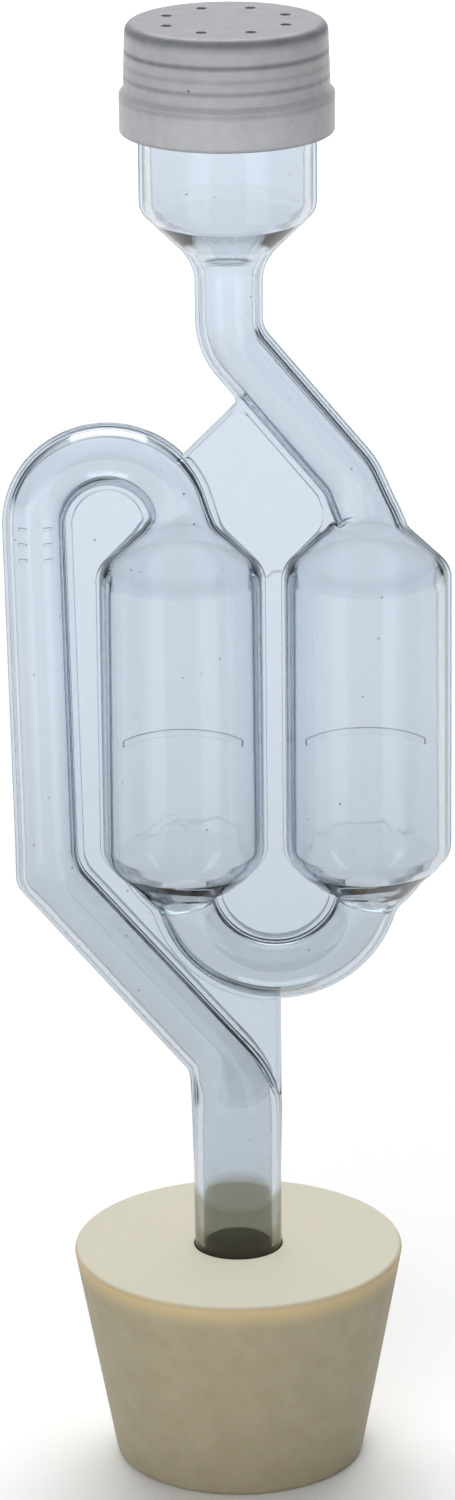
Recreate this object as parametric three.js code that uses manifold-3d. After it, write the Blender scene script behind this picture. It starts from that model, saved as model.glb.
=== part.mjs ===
// Twin-bubble fermentation airlock, pressed into a drilled rubber bung and closed by a vented dust cap.
// Millimetres, +Z up. The bung stands on Z = 0 with its axis on Z. The airlock is moulded in two clear
// halves, front (-Y) and rear (+Y), that are welded together on the plane Y = 0.

import * as THREE from "three";
import { mergeVertices } from "three/addons/utils/BufferGeometryUtils.js";
import Module from "manifold-3d";

const wasm = await Module();
wasm.setup();

// Bung: a tapered stopper with one hole through it
const BUNG_HEIGHT = 25;
const BUNG_TOP_RADIUS = 18.6;
const BUNG_BASE_RADIUS = 13.9;
const BUNG_TOP_EDGE = 0.4;
const BUNG_BASE_EDGE = 1;
const BUNG_BORE_RADIUS = 4.95;

// Tube of the airlock, and the wider stem that goes into the bung
const TUBE_RADIUS = 3.25;
const TUBE_BORE = 2.55;
const STEM_RADIUS = 4.85;
const STEM_BORE = 3.88;
const STEM_END_Z = 5;

// Route of the tube, seen from the front
const UPPER_BEND_Z = 129.95;
const KNEE_X = 12.77;
const KNEE_Z = 114.5;
const NECK_Z = 109.95;
const RIGHT_BUBBLE_X = 14.6;
const LEFT_BUBBLE_X = -5.55;
const U_BEND_Z = 68.1;
const ARCH_Z = 109.4;
const DOWN_TUBE_X = -21.15;
const LOWER_BEND_X = -20.45;
const LOWER_BEND_Z = 69.3;
const STEM_BEND_Z = 45.6;
const UPPER_BEND_RADIUS = 6.5;
const KNEE_RADIUS = 7;
const NECK_RADIUS = 4;
const LOWER_BEND_RADIUS = 8;
const STEM_BEND_RADIUS = 7.5;

// Bubble chambers: a cylinder between two cones. The upper cone has an even wall and flows into the tube, and
// the lower one is flatter inside than outside.
const BUBBLE_RADIUS = 8.9;
const BUBBLE_BORE = 7.9;
const BUBBLE_TOP_Z = 104.4;
const BUBBLE_FOOT_Z = 71;
const BUBBLE_SLOPE = 43;
const BUBBLE_FLOOR_SLOPE = 35;
const BUBBLE_CONE_WALL = 0.85;
const BUBBLE_CORNER = 3.5;
const BUBBLE_NECK = 3;
const CONE_OVERLAP = 0.7;
const NECK_STEP = 0.1;

// Cup that the dust cap sits on
const CUP_RADIUS = 9.1;
const CUP_BORE = 8.28;
const CUP_RIM_Z = 161.5;
const CUP_FOOT_Z = 144.1;
const CUP_FLOOR_Z = 144.5;
const CUP_OUTER_SLOPE = 44;
const CUP_INNER_SLOPE = 42;
const CUP_CORNER = 2.6;
const CUP_OUTER_NECK = 4;
const CUP_INNER_NECK = 5.7;
const BEAD_RADIUS = 9.9;
const BEAD_LOW_Z = 158.7;
const BEAD_HIGH_Z = 160.1;
const BEAD_LEAD_IN = 1;

// Weld flange round the tube, and the thin web that ties the tubes together
const FLANGE_WIDTH = 0.4;
const FLANGE_HALF = 0.9;
const FLANGE_TOP_Z = 152;
const FLANGE_RUN_OUT = 2;
const WEB_HALF = 0.5;
const WEB_RIM = 0.6;
const WEB_EDGE_LOW = [-5, 117.4];
const WEB_EDGE_HIGH = [0.7, 123];
const GUSSET_X = 5;
const GUSSET_FOOT_Z = 43.4;
const WELD_GAP = 0.02;

// Fill line on the back of each bubble
const FILL_LINE_Z = 82.8;
const FILL_LINE_HEIGHT = 0.6;
const FILL_LINE_PROUD = 0.25;
const FILL_LINE_REACH = 49;
const FILL_LINE_ROOT = 0.6;

// Dust cap: a skirt and a narrower drum with vents through its top
const CAP_FOOT_Z = 152.8;
const CAP_STEP_Z = 157;
const CAP_TOP_Z = 164.6;
const CAP_SKIRT_RADIUS = 11.45;
const CAP_DRUM_RADIUS = 10.98;
const CAP_CROWN_RADIUS = 10.75;
const CAP_CROWN_EDGE = 1.1;
const CAP_SKIRT_EDGE = 0.3;
const CAP_STEP_RISE = 0.5;
const CAP_ROOF = 1.3;
const CAP_ROOF_CORNER = 0.8;
const CAP_BORE_RISE = 0.3;
const CAP_SKIRT_BORE = 10.35;
const CAP_BEAD_BORE = 10.1;
const CAP_SEAT_BORE = 9.45;
const CAP_SEAT_GAP = 0.05;
const VENT_COUNT = 8;
const VENT_RADIUS = 0.58;
const VENT_RING_RADIUS = 6.8;

// How far a cut runs past the face that it opens
const CUT_PAST = 1;

// Fineness of the round faces
const TUBE_FACETS = 20;
const CHAMBER_FACETS = 28;
const ROUND_FACETS = 36;
const VENT_FACETS = 10;
const CORNER_STEPS = 2;
const PLATE_STEPS = 16;
const BEND_STEP = THREE.MathUtils.degToRad(15);

// Points closer than this are one point, and a curve shorter than this is left out
const SAME_POINT = 1e-4;
const SHORTEST_CURVE = 1e-6;

const CLEAR = { color: 0xd9e2ea, roughness: 0.08, metalness: 0, transparent: true, opacity: 0.45 };
const FROSTED = { color: 0xb4b5b8, roughness: 0.55, metalness: 0 };
const GUM_RUBBER = { color: 0xd3c49c, roughness: 0.8, metalness: 0 };

const slopeOf = (degrees) => Math.tan(THREE.MathUtils.degToRad(degrees));

// A path through corners given as [x, y, rounding], with an arc of that radius at each inner corner
function roundedPath(corners) {
  const points = corners.map(([x, y]) => new THREE.Vector2(x, y));
  const path = new THREE.Path();
  path.moveTo(points[0].x, points[0].y);
  for (let i = 1; i < points.length - 1; i += 1) {
    const back = points[i - 1].clone().sub(points[i]).normalize();
    const ahead = points[i + 1].clone().sub(points[i]).normalize();
    const half = Math.acos(THREE.MathUtils.clamp(back.dot(ahead), -1, 1)) / 2;
    const radius = corners[i][2] ?? 0;
    if (radius === 0) {
      path.lineTo(points[i].x, points[i].y);
      continue;
    }
    const centre = back.clone().add(ahead).normalize();
    centre.multiplyScalar(radius / Math.sin(half)).add(points[i]);
    const reach = radius / Math.tan(half);
    const from = back.multiplyScalar(reach).add(points[i]);
    const to = ahead.multiplyScalar(reach).add(points[i]);
    const clockwise = from.clone().sub(centre).cross(to.clone().sub(centre)) < 0;
    path.lineTo(from.x, from.y);
    path.absarc(centre.x, centre.y, radius, angleOf(from, centre), angleOf(to, centre), clockwise);
  }
  path.lineTo(points.at(-1).x, points.at(-1).y);
  return path;
}

const angleOf = (point, centre) => Math.atan2(point.y - centre.y, point.x - centre.x);

// A closed geometry as a solid for joining and cutting
function solid(geometry) {
  geometry.deleteAttribute("normal");
  geometry.deleteAttribute("uv");
  const merged = mergeVertices(geometry, SAME_POINT);
  const vertProperties = merged.attributes.position.array;
  return new wasm.Manifold(
    new wasm.Mesh({ numProp: 3, vertProperties, triVerts: new Uint32Array(merged.index.array) }),
  );
}

const joined = (solids) => solids.reduce((all, one) => all.add(one));

// A solid back as a named mesh
function meshOf(name, body, finish) {
  const made = body.getMesh();
  const geometry = new THREE.BufferGeometry();
  geometry.setAttribute("position", new THREE.BufferAttribute(made.vertProperties, 3));
  geometry.setIndex(new THREE.BufferAttribute(made.triVerts, 1));
  geometry.computeVertexNormals();
  const mesh = new THREE.Mesh(geometry, new THREE.MeshStandardMaterial(finish));
  mesh.name = name;
  return mesh;
}

// A profile of [radius, z, rounding] corners revolved round the vertical line through x
function revolved(corners, facets, x = 0) {
  const geometry = new THREE.LatheGeometry(roundedPath(corners).getPoints(CORNER_STEPS), facets);
  return solid(geometry.rotateX(Math.PI / 2).translate(x, 0, 0));
}

// A flat plate in the weld plane, of the given half thickness
function plate(shape, half) {
  const geometry = new THREE.ExtrudeGeometry(shape, {
    depth: 2 * half,
    bevelEnabled: false,
    curveSegments: PLATE_STEPS,
  });
  return solid(geometry.rotateX(Math.PI / 2).translate(0, half, 0));
}

// The plate that a revolved profile would cut out of the weld plane, wider by the flange
function flangePlate(corners, x) {
  const side = roundedPath(corners).getPoints(CORNER_STEPS);
  const right = side.map((p) => new THREE.Vector2(x + p.x + FLANGE_WIDTH, p.y));
  const left = side.map((p) => new THREE.Vector2(x - p.x - FLANGE_WIDTH, p.y));
  return plate(new THREE.Shape([...right, ...left.reverse()]), FLANGE_HALF);
}

// A straight bar in the weld plane, to the right of the line from start to end
function bar(start, end, width) {
  const along = end.clone().sub(start);
  const aside = new THREE.Vector2(along.y, -along.x).setLength(width);
  const corners = [start, end, end.clone().add(aside), start.clone().add(aside)];
  return plate(new THREE.Shape(corners), FLANGE_HALF);
}

// Places along a path where a swept section stands: both ends of each line and steps round each bend
function stationsOf(path) {
  const stations = [];
  let travelled = 0;
  for (const curve of path.curves.filter((one) => one.getLength() > SHORTEST_CURVE)) {
    const bend = curve.isEllipseCurve ? Math.abs(curve.getLength() / curve.xRadius) : 0;
    const steps = Math.max(1, Math.ceil(bend / BEND_STEP));
    for (let i = stations.length ? 1 : 0; i <= steps; i += 1) {
      const tangent = curve.getTangent(i / steps);
      stations.push({
        at: curve.getPoint(i / steps),
        normal: new THREE.Vector2(tangent.y, -tangent.x),
        travelled: travelled + (curve.getLength() * i) / steps,
      });
    }
    travelled += curve.getLength();
  }
  return stations;
}

// A section carried along the stations: section(station) lists [across, depth] corners of a convex outline
function swept(stations, section) {
  const rings = stations.map((station) => section(station));
  const sides = rings[0].length;
  const vertices = rings.flatMap((ring, i) => {
    const { at, normal } = stations[i];
    return ring.flatMap(([across, depth]) => [at.x + across * normal.x, depth, at.y + across * normal.y]);
  });
  const faces = [];
  for (let ring = 0; ring < rings.length - 1; ring += 1) {
    for (let side = 0; side < sides; side += 1) {
      const a = ring * sides + side;
      const b = ring * sides + ((side + 1) % sides);
      faces.push(a, b, a + sides, b, b + sides, a + sides);
    }
  }
  const last = (rings.length - 1) * sides;
  for (let side = 1; side < sides - 1; side += 1) {
    faces.push(0, side + 1, side, last, last + side, last + side + 1);
  }
  const geometry = new THREE.BufferGeometry();
  geometry.setAttribute("position", new THREE.Float32BufferAttribute(vertices, 3));
  geometry.setIndex(faces);
  return solid(geometry);
}

function roundSection(radius) {
  return Array.from({ length: TUBE_FACETS }, (_, i) => {
    const turn = (2 * Math.PI * i) / TUBE_FACETS;
    return [radius * Math.cos(turn), radius * Math.sin(turn)];
  });
}

function flatSection(reach) {
  return [
    [reach, -FLANGE_HALF],
    [reach, FLANGE_HALF],
    [-reach, FLANGE_HALF],
    [-reach, -FLANGE_HALF],
  ];
}

// The route of the tube, from inside the cup down to the end of the stem
const uBendRadius = (RIGHT_BUBBLE_X - LEFT_BUBBLE_X) / 2;
const uBendX = (RIGHT_BUBBLE_X + LEFT_BUBBLE_X) / 2;
const archRadius = (LEFT_BUBBLE_X - DOWN_TUBE_X) / 2;
const archX = (LEFT_BUBBLE_X + DOWN_TUBE_X) / 2;
const cupNeckZ = CUP_FLOOR_Z - (CUP_BORE - TUBE_BORE) * slopeOf(CUP_INNER_SLOPE);

function routeTo(endZ) {
  return roundedPath([
    [0, cupNeckZ + CUT_PAST],
    [0, UPPER_BEND_Z, UPPER_BEND_RADIUS],
    [KNEE_X, KNEE_Z, KNEE_RADIUS],
    [RIGHT_BUBBLE_X, NECK_Z, NECK_RADIUS],
    [RIGHT_BUBBLE_X, U_BEND_Z - uBendRadius, uBendRadius],
    [LEFT_BUBBLE_X, U_BEND_Z - uBendRadius, uBendRadius],
    [LEFT_BUBBLE_X, ARCH_Z + archRadius, archRadius],
    [DOWN_TUBE_X, ARCH_Z + archRadius, archRadius],
    [DOWN_TUBE_X, ARCH_Z],
    [LOWER_BEND_X, LOWER_BEND_Z, LOWER_BEND_RADIUS],
    [0, STEM_BEND_Z, STEM_BEND_RADIUS],
    [0, endZ],
  ]);
}

// How far a station is through the last bend, where the tube widens into the stem: 0 before it, 1 after it
function stemShare(station, stations) {
  const bendEnd = stations.at(-2).travelled;
  const bendStart = bendEnd - STEM_BEND_RADIUS * Math.atan2(-LOWER_BEND_X, LOWER_BEND_Z - STEM_BEND_Z);
  return THREE.MathUtils.smoothstep(station.travelled, bendStart, bendEnd);
}

function sweptTube(tubeRadius, stemRadius, endZ) {
  const stations = stationsOf(routeTo(endZ));
  return swept(stations, (station) =>
    roundSection(THREE.MathUtils.lerp(tubeRadius, stemRadius, stemShare(station, stations))),
  );
}

// The flange follows the tube and runs out where the stem begins
function sweptFlange() {
  const stations = stationsOf(routeTo(STEM_END_Z));
  return swept(stations.slice(0, -1), (station) => {
    const share = stemShare(station, stations);
    const tube = THREE.MathUtils.lerp(TUBE_RADIUS, STEM_RADIUS, share);
    return flatSection(tube + FLANGE_WIDTH * (1 - FLANGE_RUN_OUT * share));
  });
}

// Corners of a bubble from its foot to its top: a cone, the cylinder and a cone, whose ends stay in the tube
function bubbleCorners({ radius, tube, neck, floorSlope, topZ, inset }) {
  const end = tube - CONE_OVERLAP;
  const endZ = BUBBLE_FOOT_Z - (radius - end) * slopeOf(floorSlope);
  const neckZ = topZ + (radius - neck) * slopeOf(BUBBLE_SLOPE);
  return [
    [0, endZ],
    [end, endZ],
    [radius, BUBBLE_FOOT_Z, BUBBLE_CORNER - inset],
    [radius, topZ, BUBBLE_CORNER - inset],
    [neck, neckZ, BUBBLE_NECK + inset],
    [end, neckZ + BUBBLE_NECK],
    [0, neckZ + BUBBLE_NECK],
  ];
}

// Corners of the cup from its neck, past the foot of its cylinder, up to topZ
function cupCorners({ radius, neck, slope, rounding, footZ, topZ }) {
  const neckZ = footZ - (radius - neck) * slopeOf(slope);
  return [
    [0, neckZ - rounding / 2],
    [neck, neckZ - rounding / 2],
    [neck, neckZ, rounding],
    [radius, footZ, CUP_CORNER],
    [radius, topZ],
    [0, topZ],
  ];
}

const outerNeck = TUBE_RADIUS + NECK_STEP;
const innerNeck = TUBE_BORE - NECK_STEP;
const coneWallRise = BUBBLE_CONE_WALL / Math.cos(THREE.MathUtils.degToRad(BUBBLE_SLOPE));
const outerBubble = bubbleCorners({
  radius: BUBBLE_RADIUS,
  tube: TUBE_RADIUS,
  neck: outerNeck,
  floorSlope: BUBBLE_SLOPE,
  topZ: BUBBLE_TOP_Z,
  inset: 0,
});
const innerBubble = bubbleCorners({
  radius: BUBBLE_BORE,
  tube: TUBE_BORE,
  neck: innerNeck,
  floorSlope: BUBBLE_FLOOR_SLOPE,
  topZ: BUBBLE_TOP_Z + (BUBBLE_RADIUS - BUBBLE_BORE) * slopeOf(BUBBLE_SLOPE) - coneWallRise,
  inset: BUBBLE_CONE_WALL,
});
const cupOutside = {
  radius: CUP_RADIUS,
  neck: outerNeck,
  slope: CUP_OUTER_SLOPE,
  rounding: CUP_OUTER_NECK,
  footZ: CUP_FOOT_Z,
};
const outerCup = cupCorners({ ...cupOutside, topZ: CUP_RIM_Z });
const flangedCup = cupCorners({ ...cupOutside, topZ: FLANGE_TOP_Z });
const innerCup = cupCorners({
  radius: CUP_BORE,
  neck: innerNeck,
  slope: CUP_INNER_SLOPE,
  rounding: CUP_INNER_NECK,
  footZ: CUP_FLOOR_Z,
  topZ: CUP_RIM_Z + CUT_PAST,
});
const bubblePlaces = [RIGHT_BUBBLE_X, LEFT_BUBBLE_X];

function cupBead() {
  return revolved(
    [
      [0, BEAD_LOW_Z - BEAD_LEAD_IN],
      [CUP_BORE, BEAD_LOW_Z - BEAD_LEAD_IN],
      [BEAD_RADIUS, BEAD_LOW_Z],
      [BEAD_RADIUS, BEAD_HIGH_Z],
      [0, BEAD_HIGH_Z],
    ],
    CHAMBER_FACETS,
  );
}

// The web fills what lies between the tubes, from the upper slant down to the gusset beside the stem, with a
// rim as thick as the flange on its two free edges
function web() {
  const low = new THREE.Vector2(...WEB_EDGE_LOW);
  const high = new THREE.Vector2(...WEB_EDGE_HIGH);
  const intoTube = high.clone().sub(low).setLength(TUBE_RADIUS - CONE_OVERLAP);
  low.sub(intoTube);
  high.add(intoTube);
  const underEdge = new THREE.Vector2(intoTube.y, -intoTube.x).setLength(WEB_RIM / 2);
  const outline = new THREE.Shape();
  outline.moveTo(high.x + underEdge.x, high.y + underEdge.y);
  outline.lineTo(KNEE_X, KNEE_Z);
  outline.lineTo(RIGHT_BUBBLE_X, NECK_Z);
  outline.absarc(uBendX, U_BEND_Z, uBendRadius, 0, -Math.PI / 2, true);
  outline.lineTo(GUSSET_X - WEB_RIM / 2, U_BEND_Z - uBendRadius);
  outline.lineTo(GUSSET_X - WEB_RIM / 2, GUSSET_FOOT_Z);
  outline.lineTo(0, GUSSET_FOOT_Z);
  outline.lineTo(LOWER_BEND_X, LOWER_BEND_Z);
  outline.absarc(archX, ARCH_Z, archRadius, Math.PI, Math.PI / 4, true);
  outline.lineTo(low.x + underEdge.x, low.y + underEdge.y);
  const gussetFoot = new THREE.Vector2(GUSSET_X, GUSSET_FOOT_Z - WEB_RIM);
  const gussetHead = new THREE.Vector2(GUSSET_X, U_BEND_Z - uBendRadius - TUBE_BORE);
  const rims = [bar(low, high, WEB_RIM), bar(gussetHead, gussetFoot, WEB_RIM)];
  return joined([plate(outline, WEB_HALF), ...rims]);
}

// A raised arc on the back of a bubble that shows how far to fill it
function fillLine(x) {
  const low = FILL_LINE_Z - FILL_LINE_HEIGHT / 2;
  const root = BUBBLE_RADIUS - FILL_LINE_ROOT;
  const ring = revolved(
    [
      [root, low],
      [BUBBLE_RADIUS + FILL_LINE_PROUD, low],
      [BUBBLE_RADIUS + FILL_LINE_PROUD, low + FILL_LINE_HEIGHT],
      [root, low + FILL_LINE_HEIGHT],
      [root, low],
    ],
    CHAMBER_FACETS,
    x,
  );
  const halfWidth = BUBBLE_RADIUS * Math.sin(THREE.MathUtils.degToRad(FILL_LINE_REACH));
  const slice = new THREE.BoxGeometry(2 * halfWidth, 2 * BUBBLE_RADIUS, 2 * FILL_LINE_HEIGHT);
  return ring.intersect(solid(slice.translate(x, BUBBLE_RADIUS, FILL_LINE_Z)));
}

// One half of the airlock: side is -1 for the front and +1 for the rear
function halfOf(airlock, side) {
  const reach = 2 * CAP_TOP_Z;
  const box = new THREE.BoxGeometry(reach, reach, 2 * reach);
  return airlock.intersect(solid(box.translate(0, side * (reach + WELD_GAP) / 2, 0)));
}

function airlockHalves() {
  const outside = joined([
    sweptTube(TUBE_RADIUS, STEM_RADIUS, STEM_END_Z),
    sweptFlange(),
    web(),
    revolved(outerCup, CHAMBER_FACETS),
    cupBead(),
    flangePlate(flangedCup, 0),
    ...bubblePlaces.map((x) => revolved(outerBubble, CHAMBER_FACETS, x)),
    ...bubblePlaces.map((x) => flangePlate(outerBubble, x)),
    ...bubblePlaces.map((x) => fillLine(x)),
  ]);
  const passage = joined([
    sweptTube(TUBE_BORE, STEM_BORE, STEM_END_Z - CUT_PAST),
    revolved(innerCup, CHAMBER_FACETS),
    ...bubblePlaces.map((x) => revolved(innerBubble, CHAMBER_FACETS, x)),
  ]);
  const airlock = outside.subtract(passage);
  return [
    meshOf("front_shell", halfOf(airlock, -1), CLEAR),
    meshOf("rear_shell", halfOf(airlock, 1), CLEAR),
  ];
}

// The cap hangs on the bead of the cup by the seat inside its drum
function dustCap() {
  const seatZ = BEAD_HIGH_Z + CAP_SEAT_GAP;
  const cap = revolved(
    [
      [CAP_SKIRT_BORE, CAP_FOOT_Z],
      [CAP_SKIRT_RADIUS, CAP_FOOT_Z, CAP_SKIRT_EDGE],
      [CAP_SKIRT_RADIUS, CAP_STEP_Z, CAP_SKIRT_EDGE],
      [CAP_DRUM_RADIUS, CAP_STEP_Z + CAP_STEP_RISE],
      [CAP_CROWN_RADIUS, CAP_TOP_Z, CAP_CROWN_EDGE],
      [0, CAP_TOP_Z],
      [0, CAP_TOP_Z - CAP_ROOF],
      [CAP_SEAT_BORE, CAP_TOP_Z - CAP_ROOF, CAP_ROOF_CORNER],
      [CAP_SEAT_BORE, seatZ],
      [CAP_BEAD_BORE, seatZ],
      [CAP_BEAD_BORE, CAP_STEP_Z + CAP_BORE_RISE],
      [CAP_SKIRT_BORE, CAP_STEP_Z],
      [CAP_SKIRT_BORE, CAP_FOOT_Z],
    ],
    ROUND_FACETS,
  );
  const vents = Array.from({ length: VENT_COUNT }, (_, i) => {
    const turn = (2 * Math.PI * (i + 0.5)) / VENT_COUNT;
    const vent = new THREE.CylinderGeometry(VENT_RADIUS, VENT_RADIUS, 3 * CAP_ROOF, VENT_FACETS);
    vent.rotateX(Math.PI / 2);
    vent.translate(VENT_RING_RADIUS * Math.cos(turn), VENT_RING_RADIUS * Math.sin(turn), CAP_TOP_Z);
    return solid(vent);
  });
  return meshOf("dust_cap", cap.subtract(joined(vents)), FROSTED);
}

function bung() {
  const body = revolved(
    [
      [BUNG_BORE_RADIUS, 0],
      [BUNG_BASE_RADIUS, 0, BUNG_BASE_EDGE],
      [BUNG_TOP_RADIUS, BUNG_HEIGHT, BUNG_TOP_EDGE],
      [BUNG_BORE_RADIUS, BUNG_HEIGHT],
      [BUNG_BORE_RADIUS, 0],
    ],
    ROUND_FACETS,
  );
  return meshOf("bung", body, GUM_RUBBER);
}

const airlockOnBung = new THREE.Group();
airlockOnBung.add(bung(), ...airlockHalves(), dustCap());

export default airlockOnBung;
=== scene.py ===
from itertools import pairwise
from math import asin, atan2, ceil, cos, pi, radians, sin, sqrt, tan

import bmesh
import bpy
import numpy as np
from bpy.props import FloatProperty, FloatVectorProperty, IntProperty, PointerProperty
from bpy.types import Operator, Panel, PropertyGroup
from mathutils import Matrix, Vector


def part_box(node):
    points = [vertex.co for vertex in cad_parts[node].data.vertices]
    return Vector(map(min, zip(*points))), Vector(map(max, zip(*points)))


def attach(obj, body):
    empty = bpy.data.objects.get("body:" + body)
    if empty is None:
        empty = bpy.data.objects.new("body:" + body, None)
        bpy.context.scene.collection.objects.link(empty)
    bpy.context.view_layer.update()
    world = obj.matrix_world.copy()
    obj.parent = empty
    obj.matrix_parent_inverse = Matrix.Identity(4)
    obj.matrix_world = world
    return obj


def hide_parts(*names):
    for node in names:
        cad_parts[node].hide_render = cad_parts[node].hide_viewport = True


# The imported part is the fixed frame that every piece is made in, in metres
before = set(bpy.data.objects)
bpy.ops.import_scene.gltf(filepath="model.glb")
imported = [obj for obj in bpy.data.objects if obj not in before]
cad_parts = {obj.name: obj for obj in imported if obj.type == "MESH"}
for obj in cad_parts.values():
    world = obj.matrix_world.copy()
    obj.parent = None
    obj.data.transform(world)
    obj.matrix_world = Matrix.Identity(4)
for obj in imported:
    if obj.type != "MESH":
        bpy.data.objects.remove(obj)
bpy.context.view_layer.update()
BUNG_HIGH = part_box("bung")[1]
CAP_LOW, CAP_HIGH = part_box("dust_cap")

bl_info = {
    "name": "Fermentation airlock",
    "version": (1, 0, 0),
    "blender": (4, 5, 0),
    "location": "View3D > Sidebar > Airlock",
    "description": "Twin-bubble airlock with a vented dust cap, standing in a drilled rubber bung",
    "category": "Object",
}

MM = 0.001
TINY = 1e-6


# Properties

def linear(hex_colour):
    """The linear colour of an sRGB hex value such as "d8d0b4", with an alpha of 1"""
    shares = [int(hex_colour[i:i + 2], 16) / 255 for i in (0, 2, 4)]
    return tuple(s / 12.92 if s <= 0.04045 else ((s + 0.055) / 1.055) ** 2.4 for s in shares) + (1.0,)


def length(name, description, millimetres):
    """A property that holds a length"""
    return FloatProperty(
        name=name, description=description, default=millimetres * MM, unit="LENGTH", precision=5)


def angle(name, description, degrees):
    """A property that holds an angle"""
    return FloatProperty(name=name, description=description, default=radians(degrees), subtype="ANGLE")


def colour(name, description, hex_colour):
    """A property that holds a colour"""
    return FloatVectorProperty(
        name=name, description=description, default=linear(hex_colour), size=4, min=0, max=1, subtype="COLOR")


class BungSizes(PropertyGroup):
    height: length("Height", "Height of the bung", BUNG_HIGH[2] / MM)
    top_radius: length("Top radius", "Radius of the wide top face", BUNG_HIGH[0] / MM)
    base_radius: length("Base radius", "Radius of the narrow base face", 13.9)
    bore_radius: length("Hole radius", "Radius of the hole that grips the stem", 4.95)
    top_edge: length("Top edge", "Rounding of the top rim", 0.5)
    base_edge: length("Base edge", "Rounding of the base rim", 1.0)
    bore_edge: length("Hole edge", "Rounding at both mouths of the hole", 0.2)


class TubeSizes(PropertyGroup):
    radius: length("Tube radius", "Outer radius of the tube", 3.25)
    bore: length("Tube bore", "Inner radius of the tube", 2.55)
    stem_radius: length("Stem radius", "Outer radius of the stem that goes into the bung", 4.85)
    stem_bore: length("Stem bore", "Inner radius of the stem", 3.88)
    stem_end: length("Stem end", "Height of the open end of the stem", 5.0)
    upper_bend: length("Upper bend", "Height of the corner under the cup", 129.95)
    knee_x: length("Knee across", "Place of the knee above the right bubble", 12.77)
    knee: length("Knee", "Height of the knee above the right bubble", 114.5)
    neck: length("Neck", "Height of the corner into the right bubble", 109.95)
    u_bend: length("U bend", "Height of the ends of the U bend", 68.1)
    arch: length("Arch", "Height of the ends of the arch", 109.4)
    down_tube_x: length("Down tube across", "Place of the head of the tube on the left", -21.15)
    lower_bend_x: length("Lower bend across", "Place of the corner at the foot of the left tube", -20.45)
    lower_bend: length("Lower bend", "Height of the corner at the foot of the left tube", 69.3)
    stem_bend: length("Stem bend", "Height of the corner at the head of the stem", 45.6)
    tick_spacing: length("Tick spacing", "Distance between the rows of ticks on the left tube", 1.75)
    tick_height: length("Tick height", "Height of each tick", 0.3)
    tick_proud: length("Tick relief", "How far the ticks stand out", 0.2)
    tick_aside: angle("Tick aside", "How far each tick stands to the side", 24)
    tick_reach: angle("Tick reach", "How far a tick goes round to each side", 8)
    upper_bend_radius: length("Upper bend radius", "Radius of the corner under the cup", 6.5)
    knee_radius: length("Knee radius", "Radius of the knee", 7.0)
    neck_radius: length("Neck radius", "Radius of the corner into the right bubble", 4.8)
    lower_bend_radius: length("Lower bend radius", "Radius of the corner of the left tube", 8.0)
    lower_bend_corner: length("Lower bend corner", "Radius of that corner on its outer side", 2.4)
    stem_bend_radius: length("Stem bend radius", "Radius of the corner above the stem", 10.5)
    stem_bend_corner: length("Stem bend corner", "Rounding of that corner on its inner side", 4.0)


class BubbleSizes(PropertyGroup):
    right_x: length("Right bubble across", "Place of the right bubble", 14.6)
    left_x: length("Left bubble across", "Place of the left bubble", -5.55)
    radius: length("Bubble radius", "Outer radius of both bubbles", 8.9)
    bore: length("Bubble bore", "Inner radius of both bubbles", 7.9)
    top: length("Bubble top", "Height of the top of the straight wall", 104.4)
    foot: length("Bubble foot", "Height of the foot of the straight wall", 71.0)
    slope: angle("Slope", "Slope of the cones outside", 43)
    floor_slope: angle("Floor slope", "Slope of the lower cone inside", 35)
    cone_wall: length("Cone wall", "Thickness of the wall in the upper cone", 0.62)
    corner: length("Bubble corner", "Rounding outside between wall and cone", 3.5)
    neck: length("Neck rounding", "Rounding outside between the upper cone and the tube", 4.5)
    throat: length("Throat rounding", "Rounding outside between the lower cone and the tube", 1.2)
    fill_line: length("Fill line", "Height of the raised line on the back", 82.8)
    fill_line_height: length("Fill line height", "Height of the raised line itself", 0.7)
    fill_line_proud: length("Fill line relief", "How far the line stands out", 0.35)
    fill_line_reach: angle("Fill line reach", "How far the line goes round to each side", 56)


class CupSizes(PropertyGroup):
    radius: length("Cup radius", "Outer radius of the cup", 9.1)
    bore: length("Cup bore", "Inner radius of the cup", 8.28)
    rim: length("Cup rim", "Height of the rim", 161.5)
    foot: length("Cup foot", "Height of the foot of the straight wall outside", 144.1)
    floor: length("Cup floor", "Height of the foot of the straight wall inside", 144.2)
    outer_slope: angle("Outer slope", "Slope of the cone outside", 44)
    inner_slope: angle("Inner slope", "Slope of the cone inside", 41)
    corner: length("Cup corner", "Rounding between wall and cone", 2.6)
    throat: length("Throat rounding", "Rounding between cone and tube outside", 5.0)
    drain: length("Drain rounding", "Rounding between cone and tube inside", 5.6)
    bead_radius: length("Bead radius", "Radius of the bead that holds the dust cap", 9.9)
    bead_low: length("Bead foot", "Height of the lower edge of the bead", 158.7)
    bead_high: length("Bead top", "Height of the upper edge of the bead", 160.1)
    bead_lead: length("Bead lead", "Height of the slope under the bead", 0.8)


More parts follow.
